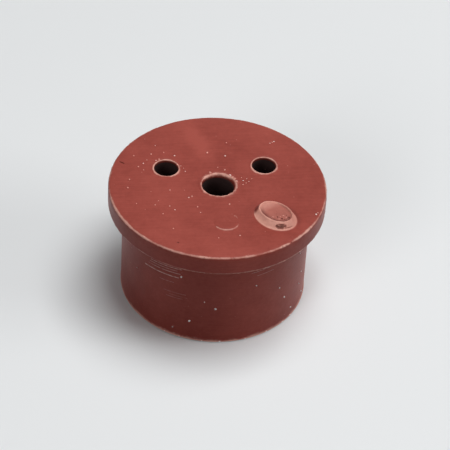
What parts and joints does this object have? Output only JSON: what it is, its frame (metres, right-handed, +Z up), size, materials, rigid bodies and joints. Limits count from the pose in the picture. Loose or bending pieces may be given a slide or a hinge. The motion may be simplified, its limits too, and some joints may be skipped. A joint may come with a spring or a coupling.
{
  "type": "rubber stopper",
  "caption": "Flanged rubber stopper with a straight plug, a screw bore on the axis and tube bores round it, one of them still closed by a skin on top.",
  "frame": {"origin": "centre of the plug's end face, on which the stopper stands", "axes": "+Z up along the screw bore, from the plug to the flange; -Y through the closed tube place"},
  "size_m": [0.026, 0.026, 0.016],
  "materials": {
    "rubber": "satin"
  },
  "bodies": {
    "root": {"stopper": "rubber"}
  },
  "joints": []
}
